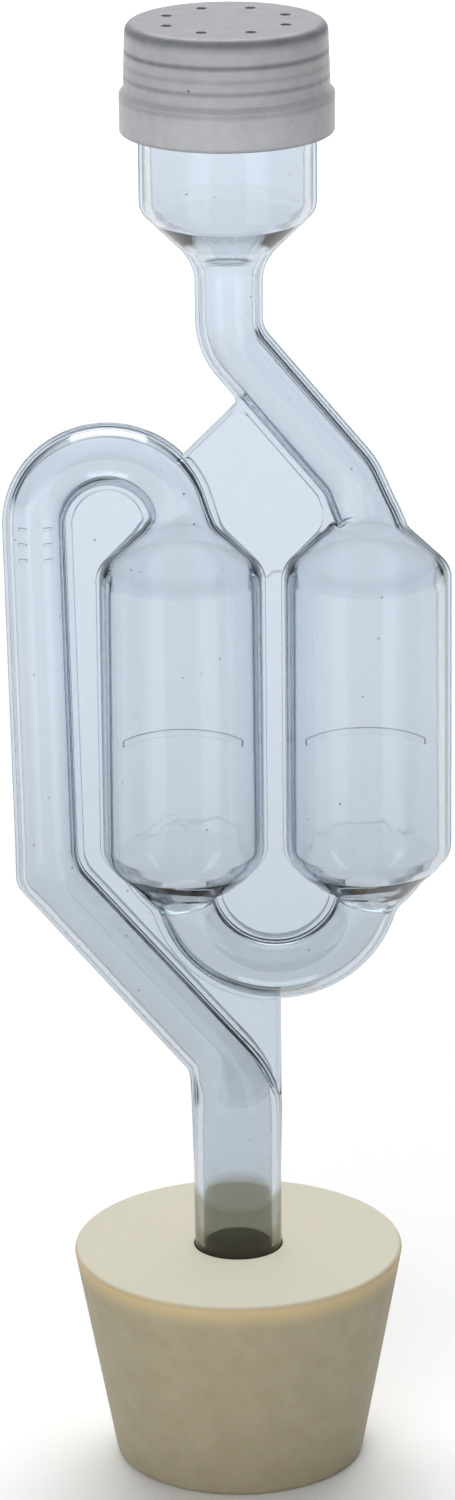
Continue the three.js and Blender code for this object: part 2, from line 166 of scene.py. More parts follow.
class FlangeSizes(PropertyGroup):
    width: length("Flange width", "How far the weld flange stands out from the tube", 0.4)
    web_width: length("Flange width at web", "How far the flange stands out towards the web", 0.74)
    half: length("Flange half thickness", "Thickness of one half of the flange beside the web", 0.42)
    free_half: length("Free half thickness", "Thickness of one half of the flange elsewhere", 0.25)
    edge: length("Flange edge", "Largest rounding of the flange's edges", 0.38)
    top: length("Flange top", "Height where the flange ends on the cup", 152.0)
    foot: length("Flange foot", "Height where the flange ends on the stem", 34.0)
    web_half: length("Web half thickness", "Thickness of the web on one half", 0.18)
    rim: length("Web rim", "Width of the thick rim on the web's free edges", 0.6)
    edge_low_x: length("Free edge foot across", "Place where the free edge meets the arch", -5.0)
    edge_low: length("Free edge foot", "Height where the free edge meets the arch", 117.4)
    edge_high_x: length("Free edge head across", "Place where the free edge meets the slanted tube", 0.7)
    edge_high: length("Free edge head", "Height where the free edge meets the slanted tube", 123.0)
    gusset_x: length("Gusset across", "Place of the upright edge beside the stem", 5.0)
    gusset_foot: length("Gusset foot", "Height of the foot of that edge", 42.8)
    sunk: length("Web sunk", "How far the web's free edges run into the tubes", 1.0)
    head_fillet: length("Head fillet", "Rounding of the web's top corner", 1.2)
    neck_fillet: length("Neck fillet", "Rounding of the web's corner beside the right bubble", 3.0)
    weld_gap: length("Weld line", "Width of the line between the welded halves", 0.02)


class CapSizes(PropertyGroup):
    foot: length("Cap foot", "Height of the lower rim of the skirt", CAP_LOW[2] / MM)
    top: length("Cap top", "Height of the top face", CAP_HIGH[2] / MM)
    step: length("Cap step", "Height of the top of the skirt", 157.0)
    step_rise: length("Step rise", "Height of the slope from skirt to drum", 0.5)
    skirt_radius: length("Skirt radius", "Outer radius of the skirt", CAP_HIGH[0] / MM)
    drum_radius: length("Drum radius", "Outer radius of the drum at its foot", 10.98)
    crown_radius: length("Crown radius", "Outer radius of the drum at its top", 10.75)
    crown_edge: length("Crown edge", "Rounding of the top rim", 1.1)
    skirt_edge: length("Skirt edge", "Rounding of the skirt's rims", 0.3)
    roof: length("Roof", "Thickness of the top", 1.3)
    skirt_bore: length("Skirt bore", "Inner radius of the skirt", 10.35)
    bead_bore: length("Bead bore", "Inner radius of the groove for the cup's bead", 10.1)
    seat_bore: length("Seat bore", "Inner radius above the seat on the bead", 9.45)
    seat: length("Seat", "Height of the seat that rests on the bead", 160.15)
    vents: IntProperty(name="Vents", description="Number of vents in the top", default=8, min=1)
    vent_radius: length("Vent radius", "Radius of each vent", 0.58)
    vent_ring: length("Vent ring", "Radius of the ring that the vents stand on", 6.8)


class Finishes(PropertyGroup):
    clear: colour("Clear plastic", "Tint of the clear polystyrene seen straight through", "e7edf4")
    # Painted shade: greyer tint of the lower tube, for the darker surroundings seen through it
    clear_low: colour("Clear plastic, low", "Tint of the clear polystyrene near the stem", "dde3e9")
    # Painted shade: the stem's dark tint at the mouth of the bung's hole, for the shaded rubber seen through
    # it
    clear_stain: colour("Clear plastic, stained", "Tint of the stem where the rubber stained it", "a6a596")
    # Painted shade: dark tint along walls seen edge on
    clear_edge: colour("Clear plastic, edge", "Tint of the clear polystyrene seen edge on", "2f363d")
    speck: colour("Speck", "Colour of the specks of dirt in the plastic", "55524e")
    clear_weld: colour("Clear plastic, weld", "Tint of the weld between the two halves", "f1f4f7")
    clear_deep: colour("Clear plastic, deep", "Tint of the clear polystyrene through thick walls", "7f9299")
    frosted: colour("Frosted plastic", "Colour of the dust cap", "d4d5d8")
    # Real absorption colour of the thick wall, and also the grey of the painted shade bands
    frosted_deep: colour("Frosted plastic, deep", "Colour of the dust cap where the wall is thick", "6f7280")
    rubber: colour("Rubber", "Colour of the bung's moulded side", "9c9377")
    rubber_pale: colour("Rubber, pale", "Colour of the bloom's patches on the bung's side", "a49b80")
    rubber_glow: colour("Rubber glow", "Colour of the light that soaks through the rim", "c6b084")
    # Painted light: the paler colour of the bung's top, lit from above
    rubber_bloom: colour("Rubber bloom", "Pale bloom on the bung's top", "c4bfaa")
    # Painted shade inside the bung's hole
    rubber_hole: colour("Rubber hole", "Colour of the clean rubber in the hole", "4f4a2c")
    rubber_sheen: colour("Rubber sheen", "Cool sheen along the bung's sides", "c6d0d6")
    floor: colour("Floor", "Colour of the studio floor", "f7f7f7")


class StageSizes(PropertyGroup):
    floor_size: length("Floor", "Length and width of the floor", 14000)
    camera_distance: length("Camera distance", "How far the camera stands in front", 617)
    camera_height: length("Camera height", "Height of the camera", 292.0)
    camera_aside: length("Camera aside", "How far the camera stands to the right", -0.65)
    camera_tilt: angle("Camera tilt", "How far the camera looks down", 18.67)
    camera_roll: angle("Camera roll", "How far the camera leans", -0.6)
    lens: FloatProperty(
        name="Lens", description="Focal length for a 36 mm sensor", default=142.6, unit="CAMERA")


class AirlockSettings(PropertyGroup):
    bung: PointerProperty(type=BungSizes, name="Bung", description="Sizes of the bung")
    tube: PointerProperty(type=TubeSizes, name="Tube", description="Route and sizes of the tube")
    bubble: PointerProperty(type=BubbleSizes, name="Bubbles", description="Sizes of the bubbles")
    cup: PointerProperty(type=CupSizes, name="Cup", description="Sizes of the cup")
    flange: PointerProperty(type=FlangeSizes, name="Flange", description="Sizes of the flange and web")
    cap: PointerProperty(type=CapSizes, name="Dust cap", description="Sizes of the dust cap")
    finish: PointerProperty(type=Finishes, name="Finishes", description="Colours of the materials")
    stage: PointerProperty(type=StageSizes, name="Stage", description="Floor and camera")


# Shapes

ROUND_STEPS = 128
HALF_ROUND_STEPS = 48
VENT_STEPS = 24
EDGE_STEPS = 5
PLATE_EDGE_STEPS = 4
BEND_STEP = radians(3)
CORNER_STEP = radians(6)
SHARP_ANGLE = radians(34)


def rounded_run(corners, turn_step):
    """Stations (place, heading, corner) of a flat line through (u, v, radius) corners, which are rounded"""
    places = [Vector(corner[:2]) for corner in corners]
    headings = [(after - before).normalized() for before, after in pairwise(places)]
    stations = [(places[0], headings[0], 0)]
    for number in range(1, len(corners) - 1):
        into, out = headings[number - 1:number + 1]
        turn = atan2(into.cross(out), into.dot(out))
        radius = corners[number][2]
        start = places[number] - into * radius * tan(abs(turn) / 2)
        centre = start + Vector((-into.y, into.x)) * (radius if turn > 0 else -radius)
        steps = ceil(abs(turn) / turn_step) if radius else 0
        for step in range(steps + 1):
            spun = Matrix.Rotation(turn * step / max(steps, 1), 2)
            place = centre + spun @ (start - centre)
            if (place - stations[-1][0]).length > TINY:
                stations.append((place, spun @ into, number))
    stations.append((places[-1], headings[-1], len(corners) - 1))
    return stations


def profile_points(corners):
    """Places on an outline through (radius, height, rounding) corners"""
    return [place for place, _, _ in rounded_run(corners, CORNER_STEP)]


def new_piece(name, bm, material, smooth=True):
    """A scene object at the origin made from a bmesh, which it uses up"""
    mesh = bpy.data.meshes.new(name)
    bm.to_mesh(mesh)
    bm.free()
    piece = bpy.data.objects.new(name, mesh)
    bpy.context.scene.collection.objects.link(piece)
    if material:
        mesh.materials.append(material)
    if smooth:
        shade(mesh)
    return piece


def shade(mesh):
    """Smooth shading between sharp edges, but flat on faces square to Y, which a Boolean leaves in slivers"""
    mesh.shade_smooth()
    mesh.set_sharp_from_angle(angle=SHARP_ANGLE)
    for face in mesh.polygons:
        if abs(face.normal.y) > 1 - TINY:
            face.use_smooth = False


def close_up(bm):
    """Merges doubles and turns the faces outwards"""
    bmesh.ops.remove_doubles(bm, verts=bm.verts, dist=TINY)
    bmesh.ops.recalc_face_normals(bm, faces=bm.faces)


def turned(corners):
    """A bmesh turned on a lathe round Z from the outline through (radius, height, rounding) corners"""
    bm = bmesh.new()
    outline = [bm.verts.new((place.x, 0, place.y)) for place in profile_points(corners)]
    sides = [bm.edges.new(pair) for pair in pairwise(outline)]
    bmesh.ops.spin(
        bm, geom=outline + sides, cent=(0, 0, 0), axis=(0, 0, 1), angle=2 * pi, steps=ROUND_STEPS,
        use_merge=True)
    close_up(bm)
    return bm


def cut_or_join(piece, others, operation):
    """Applies a Boolean with the other objects to a piece and deletes those objects"""
    group = bpy.data.collections.new("others")
    bpy.context.scene.collection.children.link(group)
    for other in others:
        group.objects.link(other)
    step = piece.modifiers.new(operation, "BOOLEAN")
    step.operation = operation
    step.operand_type = "COLLECTION"
    step.collection = group
    step.solver = "MANIFOLD"
    done = bpy.data.meshes.new_from_object(piece.evaluated_get(bpy.context.evaluated_depsgraph_get()))
    piece.modifiers.remove(step)
    old = piece.data
    piece.data = done
    done.name = old.name
    bpy.data.meshes.remove(old)
    for other in others:
        bpy.data.meshes.remove(other.data)
    bpy.data.collections.remove(group)
    shade(piece.data)


def check_closed(piece):
    """Raises an error unless every edge of the piece's mesh has two faces"""
    bm = bmesh.new()
    bm.from_mesh(piece.data)
    loose = sum(1 for edge in bm.edges if len(edge.link_faces) != 2)
    bm.free()
    if loose:
        raise RuntimeError(f"{piece.name} isn't closed: {loose} edges don't have two faces")


# The airlock's halves

# Outline of the raised knit line, where the flows of plastic met between the bubbles
KNIT_LINE = [Vector(place) * MM for place in (
    (3.2, 103.65), (3.45, 103.3), (3.9, 103.2), (4.25, 103.45), (4.45, 103.75), (5.4, 103.85), (5.4, 104.0),
    (4.35, 103.9), (4.1, 103.55), (3.85, 103.35), (3.5, 103.45), (3.32, 103.72))]

# The flange never fades out altogether, so that every section has the same number of places
LEAST_FLANGE = 0.05

# Shares of the flange's thickness, the web's rim and the bead's lead that their roundings take
FLANGE_ROUNDING = 0.9
RIM_ROUNDING = 0.45
BEAD_FOOT_ROUNDING, BEAD_TOP_ROUNDING = 0.3, 0.2

TICK_ROWS = 3

# Corners of the route in tube_stations, counted from the rim of the cup
(UPPER_BEND, WEB_START, WEB_HEAD, KNEE, NECK, U_RIGHT, U_LEFT, ARCH_RIGHT, ARCH_LEFT, ARCH_FOOT,
 LOWER_BEND, STEM_BEND, FLANGE_FOOT) = range(1, 14)


def tube_stations(settings):
    """Where sections of the airlock stand on its route, from the rim of the cup to the end of the stem"""
    tube, bubble, cup, flange = settings.tube, settings.bubble, settings.cup, settings.flange
    bend = Vector((0, tube.upper_bend))
    slant = (Vector((tube.knee_x, tube.knee)) - bend).normalized()
    web_head = bend + slant * slant.dot(Vector((flange.edge_high_x, flange.edge_high)) - bend)
    u_radius = (bubble.right_x - bubble.left_x) / 2
    arch_radius = (bubble.left_x - tube.down_tube_x) / 2
    run = rounded_run(
        [
            (0, cup.rim, 0),
            (0, tube.upper_bend, tube.upper_bend_radius),
            (*(web_head - slant * flange.rim), 0),
            (*web_head, 0),
            (tube.knee_x, tube.knee, tube.knee_radius),
            (bubble.right_x, tube.neck, tube.neck_radius),
            (bubble.right_x, tube.u_bend - u_radius, u_radius),
            (bubble.left_x, tube.u_bend - u_radius, u_radius),
            (bubble.left_x, tube.arch + arch_radius, arch_radius),
            (tube.down_tube_x, tube.arch + arch_radius, arch_radius),
            (tube.down_tube_x, tube.arch, 0),
            (tube.lower_bend_x, tube.lower_bend, tube.lower_bend_radius),
            (0, tube.stem_bend, tube.stem_bend_radius),
            (0, flange.foot, 0),
            (0, tube.stem_end, 0),
        ],
        BEND_STEP,
    )
    cup_rows = [place.x for side in cup_profiles(settings) for place in side]
    cup_rows += [flange.top + flange.half * step / EDGE_STEPS for step in range(EDGE_STEPS + 1)]
    bubble_rows = [place.x for side in bubble_profiles(settings) for place in side]
    for across, rows in ((0, cup_rows), (bubble.right_x, bubble_rows), (bubble.left_x, bubble_rows)):
        run = with_rows(run, across, rows)
    return run


def with_rows(run, across, heights):
    """The run with a station more at each of the heights on its upright stretches at that place"""
    full = []
    for (place, heading, corner), (end, _, _) in pairwise(run):
        full.append((place, heading, corner))
        if max(abs(place.x - across), abs(end.x - across)) < TINY:
            low, high = sorted((place.y, end.y))
            levels = sorted({round(h, 7) for h in heights if low + TINY < h < high - TINY})
            if heading.y < 0:
                levels.reverse()
            full += [(Vector((across, level)), heading, corner) for level in levels]
    return full + run[-1:]


def cup_profiles(settings):
    """Radius by height of the cup, as (height, radius) places outside and inside"""
    tube, cup = settings.tube, settings.cup
    neck = cup.foot - (cup.radius - tube.radius) * tan(cup.outer_slope)
    throat = cup.floor - (cup.bore - tube.bore) * tan(cup.inner_slope)
    outside = profile_points([
        (tube.upper_bend, tube.radius, 0),
        (neck, tube.radius, cup.throat),
        (cup.foot, cup.radius, cup.corner),
        (cup.bead_low - cup.bead_lead, cup.radius, 0),
        (cup.bead_low, cup.bead_radius, BEAD_FOOT_ROUNDING * cup.bead_lead),
        (cup.bead_high, cup.bead_radius, BEAD_TOP_ROUNDING * cup.bead_lead),
        (cup.bead_high + 10 * TINY, cup.radius, 0),
        (cup.rim, cup.radius, 0),
    ])
    inside = profile_points([
        (tube.upper_bend, tube.bore, 0),
        (throat, tube.bore, cup.drain),
        (cup.floor, cup.bore, cup.corner),
        (cup.rim, cup.bore, 0),
    ])
    return outside, inside


def bubble_profiles(settings):
    """Radius by height of a bubble, as (height, radius) places outside and inside"""
    tube, bubble = settings.tube, settings.bubble
    sunk = bubble.cone_wall / cos(bubble.slope) - (bubble.radius - bubble.bore) * tan(bubble.slope)
    sides = []
    for wall, pipe, slope, top, inset in (
        (bubble.radius, tube.radius, bubble.slope, bubble.top, 0),
        (bubble.bore, tube.bore, bubble.floor_slope, bubble.top - sunk, bubble.cone_wall),
    ):
        drop = (wall - pipe) * tan(slope)
        rise = (wall - pipe) * tan(bubble.slope)
        sides.append(profile_points([
            (bubble.foot - drop - 2 * bubble.throat, pipe, 0),
            (bubble.foot - drop, pipe, bubble.throat),
            (bubble.foot, wall, bubble.corner - inset),
            (top, wall, bubble.corner - inset),
            (top + rise, pipe, bubble.neck + inset),
            (top + rise + 2 * bubble.neck, pipe, 0),
        ]))
    return sides


def radius_at(profile, height):
    """Radius at a height, between the (height, radius) places of a profile"""
    heights, radii = zip(*profile)
    return float(np.interp(height, heights, radii))


def wall_at(station, settings, profiles):
    """Outer radius, bore, share of the flange and spread to the right at a station"""
    (across, height), heading, corner = station
    tube, bubble, flange = settings.tube, settings.bubble, settings.flange
    if corner < UPPER_BEND:
        share = 1 - smooth_share((height - flange.top) / flange.half)
        return *(radius_at(side, height) for side in profiles["cup"]), share, 0
    near = min(abs(across - bubble.right_x), abs(across - bubble.left_x))
    if corner < ARCH_LEFT and near < tube.radius - tube.bore:
        return *(radius_at(side, height) for side in profiles["bubble"]), 1, 0
    if corner < LOWER_BEND:
        return tube.radius, tube.bore, 1, 0
    slant = Vector((-tube.lower_bend_x, tube.stem_bend - tube.lower_bend)).angle(Vector((0, -1)))
    turn = heading.angle(Vector((0, -1)))
    if corner < STEM_BEND:
        line = tube.lower_bend_radius + tube.radius
        spread = corner_reach((line, line), tube.lower_bend_corner, slant, turn) - line
        return tube.radius, tube.bore, 1, spread
    share = smooth_share(1 - turn / slant)
    outer = tube.radius + (tube.stem_radius - tube.radius) * share
    bore = tube.bore + (tube.stem_bore - tube.bore) * share
    lines = tube.stem_bend_radius - tube.radius, tube.stem_bend_radius - tube.stem_radius
    inside = tube.stem_bend_radius - corner_reach(lines, tube.stem_bend_corner, slant, slant - turn)
    return outer, bore, 1 - share / 2 if corner == STEM_BEND else 0, inside - outer


def corner_reach(lines, rounding, whole, turn):
    """Reach from a bend's centre, part of its whole turn on, to the rounded corner of two lines so far off"""
    near = lines[0] - rounding
    centre = Vector((near, (lines[1] - rounding - near * cos(whole)) / sin(whole)))
    first = atan2(centre.y, lines[0])
    last = atan2(centre.y + rounding * sin(whole), centre.x + rounding * cos(whole))
    if turn < first:
        return lines[0] / cos(turn)
    if turn > last:
        return lines[1] / cos(whole - turn)
    along = centre.dot(Vector((cos(turn), sin(turn))))
    return along + sqrt(rounding ** 2 - centre.length_squared + along ** 2)


def smooth_share(share):
    """A share held between 0 and 1, with a soft start and end"""
    share = min(max(share, 0), 1)
    return share * share * (3 - 2 * share)


def flange_sizes(station, outer, settings):
    """Width and thickness of the flange right and left of the route: more of both beside the web"""
    place, heading, corner = station
    tube, bubble, flange = settings.tube, settings.bubble, settings.flange
    wall = place + right_of(heading) * outer
    grown = tube.stem_radius if corner >= STEM_BEND else bubble.radius
    swell = smooth_share((outer - tube.radius) / (grown - tube.radius))
    wide = flange.web_width + (flange.width - flange.web_width) * swell
    web_right = WEB_HEAD <= corner < ARCH_RIGHT or (corner == ARCH_RIGHT and wall.x > flange.edge_low_x)
    web_left = corner >= U_LEFT
    thick = flange.half + (flange.free_half - flange.half) * swell
    beside_web, free = (wide, thick), (flange.width, flange.free_half)
    return [beside_web if web_right else free, beside_web if web_left else free]


def half_section(outer, bore, share, spread, sizes, flange):
    """Outline (across, depth) of one half of the tube with its flange, open towards the weld"""
    weld = flange.weld_gap / 2
    share = max(share, LEAST_FLANGE)
    ears, starts = [], []
    for width, half in sizes:
        reach, deep = outer + width * share, weld + (half - weld) * share
        edge = min(flange.edge * share, FLANGE_ROUNDING * (deep - weld))
        starts.append(asin(deep / outer))
        ears.append([(reach, weld)])
        for step in range(EDGE_STEPS + 1):
            turn = pi / 2 * step / EDGE_STEPS
            ears[-1].append((reach - edge + edge * cos(turn), deep - edge + edge * sin(turn)))
    right = [(across + spread, depth) for across, depth in ears[0]]
    left = [(-across, depth) for across, depth in reversed(ears[1])]
    skin = half_round(outer, starts, spread)
    hollow = half_round(bore, [asin(weld / bore)] * 2, spread)
    return right + skin + left + hollow[::-1]


def half_round(radius, ends, spread):
    """Places (across, depth) on half a circle short of its ends, spread to the right"""
    whole = pi - sum(ends)
    turns = [ends[0] + whole * step / HALF_ROUND_STEPS for step in range(HALF_ROUND_STEPS + 1)]
    return [(radius * cos(turn) + spread * max(cos(turn), 0), radius * sin(turn)) for turn in turns]


def right_of(heading):
    """The direction to the right of a heading"""
    return Vector((heading.y, -heading.x))


def swept_half(run, walls, settings):
    """A bmesh of the rear half's tube: its section drawn along the route by one extrusion for each station"""
    bm = bmesh.new()
    order = bm.verts.layers.int.new("order")
    ends = []
    edges = []
    for station, wall in zip(run, walls):
        place, heading, _ = station
        section = half_section(*wall, flange_sizes(station, wall[0], settings), settings.flange)
        across = right_of(heading)
        ring = [(place.x + a * across.x, d, place.y + a * across.y) for a, d in section]
        if not edges:
            verts = [bm.verts.new(corner) for corner in ring]
            for number, vert in enumerate(verts):
                vert[order] = number
            edges = [bm.edges.new(pair) for pair in zip(verts, verts[1:] + verts[:1])]
            ends.append(edges)
            continue
        grown = bmesh.ops.extrude_edge_only(bm, edges=edges)["geom"]
        verts = {part for part in grown if isinstance(part, bmesh.types.BMVert)}
        for vert in verts:
            vert.co = ring[vert[order]]
        edges = [
            part for part in grown if isinstance(part, bmesh.types.BMEdge) and verts.issuperset(part.verts)]
    ends.append(edges)
    for end in ends:
        bmesh.ops.contextual_create(bm, geom=end)
    bmesh.ops.recalc_face_normals(bm, faces=bm.faces)
    return bm


def mirrored(piece, name):
    """A copy of a piece on the other side of the weld"""
    bm = bmesh.new()
    bm.from_mesh(piece.data)
    bmesh.ops.scale(bm, vec=(1, -1, 1), verts=bm.verts)
    bmesh.ops.reverse_faces(bm, faces=bm.faces)
    return new_piece(name, bm, piece.data.materials[0])


def plate(outline, start, depth):
    """A bmesh of a flat plate on an outline of (across, height) places, from one depth to another"""
    bm = bmesh.new()
    face = bm.faces.new([bm.verts.new((place[0], start, place[1])) for place in outline])
    grown = bmesh.ops.extrude_face_region(bm, geom=[face], use_keep_orig=True)["geom"]
    moved = [part for part in grown if isinstance(part, bmesh.types.BMVert)]
    bmesh.ops.translate(bm, verts=moved, vec=(0, depth - start, 0))
    bmesh.ops.recalc_face_normals(bm, faces=bm.faces)
    return bm


def round_plate(outline, start, depth, edge):
    """A bmesh of a flat plate whose far face has rounded edges"""
    bm = plate(outline, start, depth)
    far = [side for side in bm.edges if min(vert.co.y for vert in side.verts) > depth - TINY]
    bmesh.ops.bevel(
        bm, geom=far, offset=edge, segments=PLATE_EDGE_STEPS, profile=0.5, affect="EDGES", material=-1,
        clamp_overlap=True)
    return bm


def crossing(start, along, other, aside):
    """Where the line from one place along a direction meets the line through another place"""
    return start + along * ((other - start).cross(aside) / along.cross(aside))


def filled_corner(corner, into, out, radius, sunk):
    """Outline of the piece that rounds a corner of the web between two directions, sunk behind it"""
    # Three radii leave room for the arc on both sides of the corner
    before, after = corner - into * 3 * radius, corner + out * 3 * radius
    run = rounded_run([(*before, 0), (*corner, radius), (*after, 0)], CORNER_STEP)
    arc = [place for place, _, number in run if number == 1]
    back = corner + (corner - arc[len(arc) // 2]).normalized() * sunk
    return arc + [back]


def web_fillets(settings):
    """Outlines of the pieces that round the corners of the upper panel of web"""
    tube, bubble, flange = settings.tube, settings.bubble, settings.flange
    reach = tube.radius + flange.web_width
    bend, knee, neck = (Vector(place) for place in (
        (0, tube.upper_bend), (tube.knee_x, tube.knee), (bubble.right_x, tube.neck)))
    slant, drop = (knee - bend).normalized(), (neck - knee).normalized()
    low = Vector((flange.edge_low_x, flange.edge_low))
    high = Vector((flange.edge_high_x, flange.edge_high))
    free = (high - low).normalized()
    head = crossing(bend + right_of(slant) * reach, slant, high + right_of(free) * flange.rim, free)
    rise = (bubble.radius - tube.radius) * tan(bubble.slope)
    shoulder = Vector((bubble.right_x - bubble.radius - flange.width, bubble.top))
    cone = (Vector((bubble.right_x - reach, bubble.top + rise)) - shoulder).normalized()
    neck_corner = crossing(knee + right_of(drop) * reach, drop, shoulder, cone)
    return [
        filled_corner(head, free, slant, flange.head_fillet, flange.sunk),
        filled_corner(neck_corner, drop, -cone, flange.neck_fillet, flange.sunk),
    ]


def wall_line(run, walls, corners, hand):
    """Places in the middle of the tube's wall on one hand of the route, at the given corners"""
    line = []
    for (place, heading, corner), (outer, bore, _, _) in zip(run, walls):
        if corner in corners:
            line.append(place + right_of(heading) * (hand * (outer + bore) / 2))
    return line


def web_outlines(run, walls, settings):
    """Outlines of the two panels of web and of the rims on their free edges"""
    flange = settings.flange
    low = Vector((flange.edge_low_x, flange.edge_low))
    high = Vector((flange.edge_high_x, flange.edge_high))
    along = (high - low).normalized()
    low -= along * flange.sunk
    high += along * flange.sunk
    under = right_of(along) * flange.rim
    upper = [high + under / 2]
    upper += wall_line(run, walls, range(KNEE, ARCH_RIGHT), 1)
    upper += [place for place in wall_line(run, walls, [ARCH_RIGHT], 1) if place.x > low.x + flange.rim]
    upper += [low + under / 2]
    upper_rim = [low, high, high + under, low + under]

    edge_x = flange.gusset_x - flange.rim / 2
    lower = [place for place in wall_line(run, walls, [U_RIGHT, U_LEFT], -1) if place.x < edge_x]
    lower += wall_line(run, walls, range(ARCH_RIGHT, STEM_BEND + 1), -1)
    lower += [Vector((edge_x, lower[-1].y)), Vector((edge_x, lower[0].y))]
    rim_x = flange.gusset_x - flange.rim
    lower_rim = [(rim_x, flange.gusset_foot), (flange.gusset_x, flange.gusset_foot)]
    lower_rim += [(flange.gusset_x, lower[0].y), (rim_x, lower[0].y)]
    return (upper, lower), (upper_rim, lower_rim)


def raised_arc(across, middle, inner, outer, tall, aim, reach):
    """A bmesh of a low arc on an upright round wall, from its inner to its outer radius, round a direction"""
    bm = bmesh.new()
    low, high = middle - tall / 2, middle + tall / 2
    corners = [(inner, low), (outer, low), (outer, high), (inner, high)]
    face = bm.faces.new([bm.verts.new((radius, 0, height)) for radius, height in corners])
    bmesh.ops.transform(bm, matrix=Matrix.Rotation(aim - reach, 4, "Z"), verts=bm.verts)
    steps = ceil(2 * reach / BEND_STEP)
    bmesh.ops.spin(bm, geom=[face], cent=(0, 0, 0), axis=(0, 0, 1), angle=2 * reach, steps=steps)
    bmesh.ops.translate(bm, verts=bm.verts, vec=(across, 0, 0))
    close_up(bm)
    return bm


def fill_line(across, bubble):
    """A bmesh of the raised line on the back of a bubble"""
    return raised_arc(
        across, bubble.fill_line, (bubble.radius + bubble.bore) / 2, bubble.radius + bubble.fill_line_proud,
        bubble.fill_line_height, pi / 2, bubble.fill_line_reach)


def mould_ticks(tube):
    """Bmeshes of the pairs of short raised ticks on the front of the left tube's head"""
    wall = (tube.radius + tube.bore) / 2
    ticks = []
    for row in range(TICK_ROWS):
        height = tube.arch - tube.tick_spacing * (row - 0.25)
        for side in (-1, 1):
            ticks.append(raised_arc(
                tube.down_tube_x, height, wall, tube.radius + tube.tick_proud, tube.tick_height,
                -pi / 2 + side * tube.tick_aside, tube.tick_reach))
    return ticks


class AIRLOCK_OT_clear_halves(Operator):
    """Makes the two welded halves of the clear airlock"""
    bl_idname = "airlock.clear_halves"
    bl_label = "Clear halves"

    def execute(self, context):
        settings = context.scene.airlock
        flange, bubble = settings.flange, settings.bubble
        material = clear_polystyrene(settings.finish, flange)
        profiles = {"cup": cup_profiles(settings), "bubble": bubble_profiles(settings)}
        run = tube_stations(settings)
        walls = [wall_at(station, settings, profiles) for station in run]
        panels, rims = web_outlines(run, walls, settings)
        rear = new_piece("rear_half", swept_half(run, walls, settings), material)
        weld = flange.weld_gap / 2
        plates = [plate(outline, weld, flange.web_half) for outline in panels]
        plates += [plate(KNIT_LINE, weld, flange.half)]
        plates += [round_plate(outline, weld, flange.half, flange.edge) for outline in web_fillets(settings)]
        plates += [round_plate(outline, weld, flange.half, RIM_ROUNDING * flange.rim) for outline in rims]
        cut_or_join(rear, [new_piece("web", part, None, smooth=False) for part in plates], "UNION")
        front = mirrored(rear, "front_half")
        lines = [fill_line(across, bubble) for across in (bubble.right_x, bubble.left_x)]
        for half, marks in ((rear, lines), (front, mould_ticks(settings.tube))):
            cut_or_join(half, [new_piece("mark", part, None, smooth=False) for part in marks], "UNION")
        for half, node in ((front, "front_shell"), (rear, "rear_shell")):
            check_closed(half)
            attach(half, "airlock")
            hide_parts(node)
            # Clear walls let the light through, so they throw no shadow
            half.visible_shadow = False
        return {"FINISHED"}


# The dust cap and the bung

class AIRLOCK_OT_dust_cap(Operator):
    """Makes the vented cap that sits on the cup"""
    bl_idname = "airlock.dust_cap"
    bl_label = "Dust cap"

    def execute(self, context):
        settings = context.scene.airlock
        size = settings.cap
        shell = turned([
            (size.skirt_bore, size.foot, 0),
            (size.skirt_radius, size.foot, size.skirt_edge),
            (size.skirt_radius, size.step, size.skirt_edge),
            (size.drum_radius, size.step + size.step_rise, size.skirt_edge),
            (size.crown_radius, size.top, size.crown_edge),
            (0, size.top, 0),
            (0, size.top - size.roof, 0),
            (size.seat_bore, size.top - size.roof, size.roof / 2),
            (size.seat_bore, size.seat, 0),
            (size.bead_bore, size.seat, 0),
            (size.bead_bore, size.step + size.skirt_edge, 0),
            (size.skirt_bore, size.step, 0),
            (size.skirt_bore, size.foot, 0),
        ])
        cap = new_piece("vented_cap", shell, frosted_polyethylene(settings.finish))
        vents = []
        for number in range(size.vents):
            turn = 2 * pi * (number + 0.5) / size.vents
            bm = bmesh.new()
            bmesh.ops.create_cone(
                bm, cap_ends=True, segments=VENT_STEPS, radius1=size.vent_radius, radius2=size.vent_radius,
                depth=3 * size.roof)
            place = (size.vent_ring * cos(turn), size.vent_ring * sin(turn), size.top)
            bmesh.ops.translate(bm, verts=bm.verts, vec=place)
            vents.append(new_piece("vent", bm, None, smooth=False))
        cut_or_join(cap, vents, "DIFFERENCE")
        check_closed(cap)
        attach(cap, "cap")
        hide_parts("dust_cap")
        return {"FINISHED"}


class AIRLOCK_OT_rubber_bung(Operator):
    """Makes the drilled bung that the stem is pressed into"""
    bl_idname = "airlock.rubber_bung"
    bl_label = "Rubber bung"

    def execute(self, context):
        settings = context.scene.airlock
        size = settings.bung
        body = turned([
            (size.bore_radius, size.height / 2, 0),
            (size.bore_radius, 0, size.bore_edge),
            (size.base_radius, 0, size.base_edge),
            (size.top_radius, size.height, size.top_edge),
            (size.bore_radius, size.height, size.bore_edge),
            (size.bore_radius, size.height / 2, 0),
        ])
        bung = new_piece("drilled_bung", body, gum_rubber(settings.finish, size))
        check_closed(bung)
        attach(bung, "bung")
        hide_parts("bung")
        return {"FINISHED"}


# Materials

def add_node(tree, kind, inputs=None, **settings):
    """A new node with its settings, and its inputs set or linked"""
    node = tree.nodes.new(kind)
    for name, value in settings.items():
        setattr(node, name, value)
    for name, value in (inputs or {}).items():
        if isinstance(value, bpy.types.NodeSocket):
            tree.links.new(value, node.inputs[name])
        else:
            node.inputs[name].default_value = value
    return node


